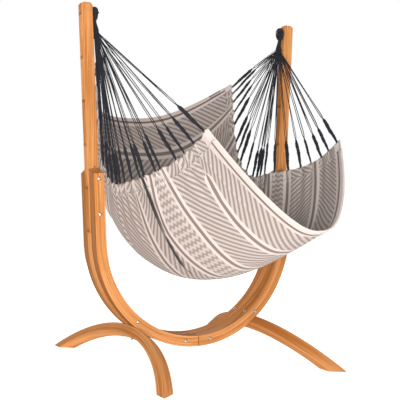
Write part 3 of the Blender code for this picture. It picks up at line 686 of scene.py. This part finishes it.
def folds(s, v):
    """How far the cloth stands off its smooth shape, towards the inside of the seat."""
    s, v = np.broadcast_arrays(np.asarray(s, float), np.asarray(v, float))
    a = np.abs(s)
    side = (s > 0).astype(int)
    k = cord_number(s, v)
    i = np.clip(np.floor(k).astype(int) + 1, 0, CORDS)
    f = k - np.floor(k)
    amp = PLEAT[side, i] * (1 - f) + PLEAT[side, np.minimum(i + 1, CORDS + 1)] * f
    near = ease(a, 0.52, 1.0)
    out = 0.0032 * amp * near ** 1.4 * np.cos(2 * math.pi * k)
    far = PLEAT_LONG[side, i] * (1 - f) + PLEAT_LONG[side, np.minimum(i + 1, CORDS + 1)] * f
    out = out + 0.0040 * far * ease(a, 0.25, 0.8) * (1 - 0.55 * ease(a, 0.85, 1.0))
    wave = sum(w * np.sin(fs * s + fv * v + p) for fs, fv, p, w in WAVES) / 6.0
    out = out + 0.0030 * wave * (0.35 + 0.65 * ease(a, 0.2, 0.7))
    for c_side, v_edge, s_end, v_end, depth, wide in CREASES:
        t = np.clip((a - s_end) / (1.0 - s_end), 0, 1)
        line = v_end + (v_edge - v_end) * t
        x = (v - line) / (wide * (0.6 + 0.7 * (1 - t)))
        shape = np.where(x < 0, np.exp(-(x * 0.8) ** 2), np.exp(-(x * 2.2) ** 2))
        out = out + np.where(s * c_side > 0, depth * shape * ease(t, 0.0, 0.35) * (1 - 0.25 * ease(t, 0.8, 1.0)), 0.0)
    return out


def draped(s, v):
    """The real surface: smooth shape, folds, and an edge that draws in between the cords."""
    s, v = np.broadcast_arrays(np.asarray(s, float), np.asarray(v, float))
    k = cord_number(s, v)
    scallop = 0.0048 * (1 - np.cos(2 * math.pi * k)) / 2 * ease(np.abs(s), 0.90, 1.0) / 0.72
    s_in = s * (1 - scallop)
    return cloth_point(s_in, v) + cloth_normal(s_in, v) * folds(s, v)[..., None]


S_TABLE, V_TABLE = np.linspace(-1, 1, 321), np.linspace(0, 1, 161)
grid = cloth_point(S_TABLE[:, None], V_TABLE[None, :])
arc = np.concatenate([np.zeros((1, 161)), np.cumsum(np.linalg.norm(np.diff(grid, axis=0), axis=2), axis=0)])
ARC = arc - arc[160]                                             # metres across, from the middle
ALONG = np.linalg.norm(np.gradient(grid, 1 / 160, axis=1), axis=2)   # metres along for one whole v


def look_up(table, s, v):
    a = (np.clip(s, -1, 1) + 1) * 160
    b = np.clip(v, 0, 1) * 160
    i, j = np.minimum(a.astype(int), 319), np.minimum(b.astype(int), 159)
    f, g = a - i, b - j
    return ((table[i, j] * (1 - g) + table[i, j + 1] * g) * (1 - f)
            + (table[i + 1, j] * (1 - g) + table[i + 1, j + 1] * g) * f)


def stripe_line(number, s, across):
    """v of a stripe's middle; near the left edge the folds push some stripes aside."""
    base = np.full(np.shape(s), STRIPES[number])
    moved = {4: ((-0.64, -0.44, -0.20), (0.5575, 0.5525, 0.5590)),
             5: ((-0.704, -0.576, -0.456, -0.400, -0.304, -0.160, 0.0), (0.6775, 0.654, 0.6375, 0.636, 0.644, 0.6575, 0.665)),
             6: ((-0.68, -0.48, -0.32, -0.144, 0.0), (0.739, 0.741, 0.7475, 0.751, 0.750)),
             7: ((-0.60, -0.504, -0.40, -0.28, -0.16, 0.0), (0.884, 0.8775, 0.869, 0.864, 0.866, 0.870))}
    if number not in moved:
        return base
    at, value = moved[number]
    return np.where(s < 0, np.interp(across, at, value), base)


def weave_coords(s, v, hem=0.0):
    s, v = np.broadcast_arrays(np.asarray(s, float), np.asarray(v, float))
    across, scale = look_up(ARC, s, v), look_up(ALONG, s, v)
    lines = np.stack([stripe_line(i, s, across) for i in range(len(STRIPES))])
    gaps = v[None] - lines
    field = (gaps > 0).sum(0)
    nearest = np.abs(gaps).argmin(0)
    near = np.abs(np.take_along_axis(gaps, nearest[None], 0)[0]) * LENGTH
    ends = np.concatenate([np.zeros((1,) + s.shape), lines, np.ones((1,) + s.shape)])
    middle = (np.take_along_axis(ends, field[None], 0)[0] + np.take_along_axis(ends, (field + 1)[None], 0)[0]) / 2
    middle = np.where((s < 0) & ((field == 3) | (field == 4)), 0.50, middle)
    along = (v - middle) * (0.55 * scale + 0.45 * look_up(ALONG, 0.45 * np.sign(s), v))
    along = along * (1 + np.where(field == 8, 0.45, -0.22) * ease(s, 0.40, 0.80))
    lean = np.asarray(HATCH_SIGN, float)[field]
    full = np.ones_like(s)
    # the last stripe is tucked into a fold near the left edge, and the one before the deep fold narrows
    full = np.where((s < 0) & (nearest == 7), ease(across, -0.560, -0.515), full)
    # on the left wall the fourth stripe lies inside a fold, and the hatch runs on over it
    full = np.where((s < 0) & (nearest == 3), ease(across, -0.22, -0.14), full)
    lean = np.where((s < 0) & (field == 3), lean * (1 - 2 * ease(-across, 0.14, 0.22)), lean)
    full = np.where((s < 0) & (nearest == 4), 0.62 + 0.38 * ease(across, -0.66, -0.50), full)
    spread = across + 0.27 * np.maximum(across - 0.35, 0.0)      # the hatch is closer on the right wall
    weave = np.stack([spread, along, np.broadcast_to(hem, s.shape)], -1)
    # the beige border runs 12 mm in from the hem, and further where the edge is drawn together
    inside = 0.0305 + 0.0150 * ease(-across, 0.42, 0.66) * (s < 0)
    from_end = np.minimum(v, 1 - v)
    border = 0.5 + (inside - from_end) * 60.0
    return {"weave": weave, "strip": np.stack([near, lean, full], -1), "painted_shade": painted_fold_shade(s, v, across), "border": border}


def patch(name, s_range, v_range, cells, thickness, mat, nodes, offset=0.0, hem=None, bulge=None):
    s = np.linspace(*s_range, cells[0])[:, None]
    v = np.linspace(*v_range, cells[1])[None, :]
    t = thickness if bulge is None else bulge(*np.broadcast_arrays(s, v))
    across = 0.0 if hem is None else hem(*np.broadcast_arrays(s, v))
    obj = slab(name, draped(s, v), t, weave_coords(s, v, across), offset)
    return give(obj, mat, "cloth", "hammock", *nodes)


inner = 1 - BAND
cloth = patch("hammock_cloth", (-inner - 0.004, inner + 0.004), (HEM * 0.6, 1 - HEM * 0.6), (230, 540), 0.0018, CLOTH, ("cloth",))


def hem_profile(end):
    def profile(s, v):
        t = np.abs(v - end) / HEM              # 0 at the outer edge, 1 at the seam
        return 0.0034 + 0.0076 * np.clip(1 - np.abs(t - 0.35) / 0.65, 0, 1) ** 0.6
    return profile


def hem_across(end):
    return lambda s, v: np.abs(v - end) / HEM


hems = [
    patch("rear_hem_fold", (-inner, inner), (0.0, HEM), (230, 16), 0.0, HEM_CLOTH, ("rear_hem",), hem=hem_across(0.0), bulge=hem_profile(0.0)),
    patch("front_hem_fold", (-inner, inner), (1 - HEM, 1.0), (230, 16), 0.0, HEM_CLOTH, ("front_hem",), hem=hem_across(1.0), bulge=hem_profile(1.0)),
]


def band_profile(s, v):
    t = (1 - np.abs(s)) / BAND
    return 0.0034 + 0.0022 * np.exp(-((t - 0.10) / 0.12) ** 2) + 0.0010 * np.exp(-((t - 0.92) / 0.08) ** 2)


bands = [
    patch("left_band", (-1.0, -inner), (0.0, 1.0), (14, 460), 0.0, BAND_CLOTH, ("left_end_band",), bulge=band_profile),
    patch("right_band", (inner, 1.0), (0.0, 1.0), (14, 460), 0.0, BAND_CLOTH, ("right_end_band",), bulge=band_profile),
]

# seams: short stitches lying on both faces of the cloth
stitches = Pile()


def stitch_line(s_of, v_of, count, lift, size=0.00045):
    for i in range(count):
        q = (np.array([0.0, 0.5, 1.0]) * 0.62 + i) / count
        s, v = s_of(q), v_of(q)
        base = draped(s, v)
        normal = cloth_normal(s, v)
        for face in (1, -1):
            rise = np.array([-0.0002, 0.0004, -0.0002]) + lift
            stitches.add(tube(base + face * normal * rise[:, None], size, 5), 0.0)


for end in (0.0, 1.0):
    at = abs(end - HEM * 0.93)
    stitch_line(lambda q: -inner + 2 * inner * q, lambda q, at=at: np.full_like(q, at), 260, 0.0018)
seams = stitches.done("seams")
give(seams, THREAD, "cloth", "hammock")
# painted shadow: these band seam stitches are near-black, standing in for the shade along the overlapped band
stitches = Pile()
for side in (-1, 1):
    stitch_line(lambda q, side=side: np.full_like(q, side * (inner + 0.003)), lambda q: q * 0.998 + 0.001, 330, 0.0030, 0.0009)
band_seams_painted_shadow = stitches.done("band_seams_painted_shadow")
give(band_seams_painted_shadow, SEAM_SHADOW_THREAD, "cloth", "hammock")

# bare labels
def tape(name, s_range, v_range, lift, node, cells=(24, 8)):
    s = np.linspace(*s_range, cells[0])[:, None]
    v = np.linspace(*v_range, cells[1])[None, :]
    pts = draped(s, v) + cloth_normal(s, v) * lift
    obj = slab(name, pts, 0.0009, weave_coords(s, v))
    return give(obj, LABEL, "label", "hammock", node)


labels = [tape("rear_tape", (0.857, 0.930), (0.0008, 0.0165), -0.0048, "rear_label"),
          tape("side_tape", (0.968, 0.999), (0.186, 0.206), 0.0042, "side_label")]

# --------------------------------------------------------------- the cords
NECK_X, NECK_Z, LOOP_X, LOOP_HALF, LOOP_TUBE_R, NECK_R = 0.568, 1.733, 0.5785, 0.021, 0.0085, 0.012
SLEEVE_R, FINGER_L = 0.009, (0.195, 0.172, 0.195)
STRAND_R = 0.00180

for label, side in SIDES:
    # the eye and its neck, both wound with cord; their tones 0.1 and 0.2 are painted shade
    pile = Pile()
    count = 200
    a = np.linspace(0, 2 * math.pi, count + 1)
    rest_z = HANG_Z + SLEEVE_R + 0.0016 + LOOP_TUBE_R
    low_z = NECK_Z + 0.043
    z = (rest_z + low_z) / 2 + (rest_z - low_z) / 2 * np.cos(a)
    y = LOOP_HALF * np.sin(a) * (0.86 + 0.14 * np.cos(a))
    path = np.stack([np.full_like(a, side * LOOP_X), y, z], -1)
    wound = lambda l, t: 0.0010 * np.abs(np.sin(math.pi * (l / 0.0034 + t / (2 * math.pi)))) - 0.0006
    path = np.repeat(path, 1, 0)
    fine = np.linspace(0, count, 560)
    path = np.stack([np.interp(fine, np.arange(count + 1), path[:, c]) for c in range(3)], -1)
    ring = tube(path, LOOP_TUBE_R - 0.0004, 18, wound)
    ring[0][:, 0] = side * (LOOP_X - 0.003) + (ring[0][:, 0] - side * LOOP_X) * 1.62
    ring[0][:, 1] *= 1.08
    pile.add(ring, 0.1)
    t = np.linspace(0, 1, 130)
    top = np.array((side * LOOP_X, 0.0, low_z + 0.006))
    low = np.array((side * NECK_X, 0.0, NECK_Z))
    neck = top + (low - top) * t[:, None]
    r = NECK_R * (1.02 - 0.18 * np.sin(math.pi * np.clip(t * 1.15, 0, 1)))
    pile.add(tube(neck, r, 22, wound), 0.2)
    # the gather under the neck, with the most painted shade (tone 0.5)
    t = np.linspace(0, 1, 40)
    knot = low + np.array((0.0, 0.0, 0.004)) + np.array((0.0, 0.0, -0.058)) * t[:, None]
    r = 0.0120 + 0.0050 * np.sin(math.pi * t) - 0.003 * t ** 3
    pile.add(tube(knot, r, 24, lambda l, q: 0.0016 * np.abs(np.sin(7 * q + 60 * l)) - 0.0008), 0.5)
    eye = pile.done(f"{label}_eye_wound")
    give(eye, CORD, "cord", "hammock", f"{label}_hanging_loop")

    pile = Pile()
    threads = Pile()
    rng = np.random.default_rng(31 + side)
    start = np.array((side * NECK_X, 0.0, NECK_Z + 0.012))
    for i in range(CORDS):
        bundle = 1.8 if side < 0 and i in (7, 8) else 1.0
        v = CORD_V[(side + 1) // 2][i]
        edge = draped(side * 1.0, v)
        off = edge - draped(side * 0.985, v)
        off /= np.linalg.norm(off)
        end = edge - off * 0.006
        axis = start - end
        reach_len = np.linalg.norm(axis)
        axis /= reach_len
        length = float(spline_through(FINGER_L, v)) * rng.uniform(0.86, 1.12)
        # wrapped finger: a wavy, knobby spindle of wound cord
        n = 150
        t = np.linspace(0, 1, n)
        p1 = np.cross(axis, (0.3, 0.8, 0.2))
        p1 /= np.linalg.norm(p1)
        p2 = np.cross(axis, p1)
        ph, ph2, waves = rng.uniform(0, 6.28), rng.uniform(0, 6.28), rng.uniform(1.2, 2.0)
        wav = 0.0009 * np.sin(math.pi * t) ** 0.5
        path = (end + axis * (t * length)[:, None] + p1 * (wav * np.sin(2 * math.pi * waves * t + ph))[:, None]
                + p2 * (wav * np.cos(2 * math.pi * waves * 0.8 * t + ph2))[:, None])
        body = 0.62 + 0.38 * ease(t, 0.0, 0.55) - 0.50 * ease(t, 0.86, 1.0)
        knobs = 1 + 0.07 * np.sin(2 * math.pi * 4.2 * t + ph) + 0.04 * np.sin(2 * math.pi * 9.1 * t + ph2)
        r = ((0.0086 if side < 0 else 0.0078) + 0.0018 * rng.uniform(-1, 1)) * body * knobs
        coil = lambda l, q: 0.0007 * np.abs(np.sin(math.pi * (l / 0.0031 + q / (2 * math.pi)))) - 0.0003
        pile.add(tube(path, np.maximum(r, 0.0015), 10, coil), 0.0)
        # two strands leave the top as a small V and run to the gather
        tip = path[-1]
        fan_way = draped(side * 1.0, min(v + 0.01, 0.999)) - draped(side * 1.0, max(v - 0.01, 0.001))
        fan_way -= axis * (fan_way @ axis)
        fan_way /= np.linalg.norm(fan_way)
        for strand in range(4):
            ang = ph + strand * math.pi / 2
            spread = fan_way * (-1 if strand < 2 else 1) * (0.86 + 0.14 * (strand % 2)) + p2 * 0.15 * math.sin(ang)
            landing = start + np.array((0, 0, -0.030)) + np.array((math.cos(ang) * 0.005, math.sin(ang + i) * 0.009, rng.uniform(-0.006, 0.008)))
            q = np.linspace(0, 1, 26)
            run = tip + (landing - tip) * q[:, None]
            from_tip = q * np.linalg.norm(landing - tip)
            gap = 0.0062 * ease(from_tip, 0.0, 0.030) * (1 - 0.62 * ease(from_tip, 0.04, 0.30)) * (1 - ease(q, 0.80, 1.0))
            run = run + spread * gap[:, None]
            sway = 0.0030 * np.sin(math.pi * q) * rng.uniform(-1, 1)
            run = run + p2 * sway[:, None]
            run[0] = tip - axis * 0.004
            pile.add(tube(run, STRAND_R * bundle, 6), 0.0)
        # pale threads fan from the finger's end over the end band
        for k in (-1, 0, 1):
            q = np.linspace(0, 1, 8)
            s = side * (1.0 - q * (BAND + 0.01) - 0.004)
            vv = np.clip(v + k * q * PITCH_V * 0.17, 0.002, 0.998)
            base = draped(s, vv)
            for face in (1, -1):
                threads.add(tube(base + face * cloth_normal(s, vv) * 0.0026, 0.00055, 5), 0.0)
    fan = pile.done(f"{label}_fan_strands")
    give(fan, CORD, "cord", "hammock", f"{label}_cord_fan")
    sewn = threads.done(f"{label}_band_threads")
    give(sewn, THREAD, "cloth", "hammock")

# ------------------------------------------------------------ floor and light
floor_mat = Nodes("pale_floor")
grain = floor_mat.noise(floor_mat.node("ShaderNodeTexCoord").outputs["Object"], 3.0, 2.0)
floor_mat.out(base_color=floor_mat.mix(floor_mat.smooth(grain, 0.3, 0.7), (0.94, 0.94, 0.94), (0.97, 0.97, 0.97)), roughness=0.9,
              emission_color=(1.0, 1.0, 1.0), emission_strength=0.50)
floor_mesh = bpy.data.meshes.new("floor")
bm = bmesh.new()
bmesh.ops.create_grid(bm, x_segments=2, y_segments=2, size=30.0)
bm.to_mesh(floor_mesh)
bm.free()
floor_mesh.materials.append(floor_mat.mat)
floor = bpy.data.objects.new("floor", floor_mesh)
floor.location = (0, 0, -0.0005)
bpy.context.scene.collection.objects.link(floor)

world = bpy.data.worlds.new("studio")
world.use_nodes = True
tree = world.node_tree
sky = tree.nodes["Background"]
split = tree.nodes.new("ShaderNodeSeparateXYZ")
ramp = tree.nodes.new("ShaderNodeMapRange")
ramp.interpolation_type = "SMOOTHSTEP"
for key, value in (("From Min", 0.22), ("From Max", 0.80), ("To Min", 1.0), ("To Max", 0.40)):
    ramp.inputs[key].default_value = value
tree.links.new(tree.nodes.new("ShaderNodeTexCoord").outputs["Generated"], split.inputs[0])
tree.links.new(split.outputs["Z"], ramp.inputs["Value"])
tree.links.new(ramp.outputs["Result"], sky.inputs["Strength"])
sky.inputs["Color"].default_value = (1.0, 1.0, 1.0, 1.0)
bpy.context.scene.world = world
bpy.context.scene.view_settings.view_transform = "Standard"


def area_light(name, place, target, size, power):
    data = bpy.data.lights.new(name, "AREA")
    data.shape = "DISK"
    data.size = size
    data.energy = power
    light = bpy.data.objects.new(name, data)
    light.location = place
    light.rotation_euler = (Vector(target) - Vector(place)).to_track_quat("-Z", "Y").to_euler()
    light.visible_camera = False
    bpy.context.scene.collection.objects.link(light)


area_light("key", (-2.7, -4.5, 0.9), (0, 0, 0.9), 1.9, 284)
area_light("back_fill", (2.0, 4.8, 1.6), (0, 0, 0.9), 2.6, 90)
